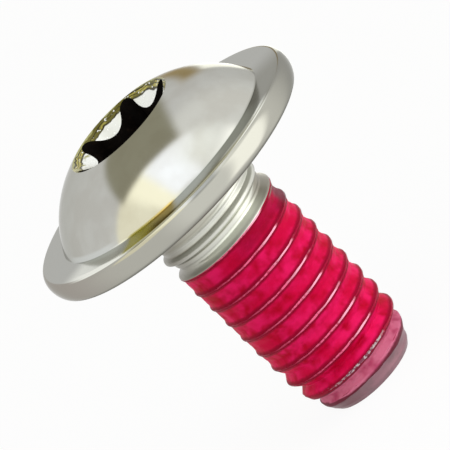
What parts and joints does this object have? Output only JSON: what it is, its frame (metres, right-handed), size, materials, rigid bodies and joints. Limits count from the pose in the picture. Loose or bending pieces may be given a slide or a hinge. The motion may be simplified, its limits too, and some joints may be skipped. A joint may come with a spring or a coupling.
{
  "type": "exhaust bolt",
  "caption": "Short dome-head flanged machine bolt with a six-lobe socket, a plain neck and a thread coated with dried locking compound.",
  "frame": {"origin": "centre of the flat end face, where the standing bolt touches the floor", "axes": "+Z along the bolt's axis, from the threaded end to the head; -Y is the pictured side"},
  "size_m": [0.0148, 0.0148, 0.0164],
  "materials": {
    "steel": "bright plated steel with faint yellow passivation",
    "coating": "dried pink-red thread-locking compound"
  },
  "bodies": {
    "root": {"bolt": "steel", "threadlock_coating": "coating"}
  },
  "joints": []
}
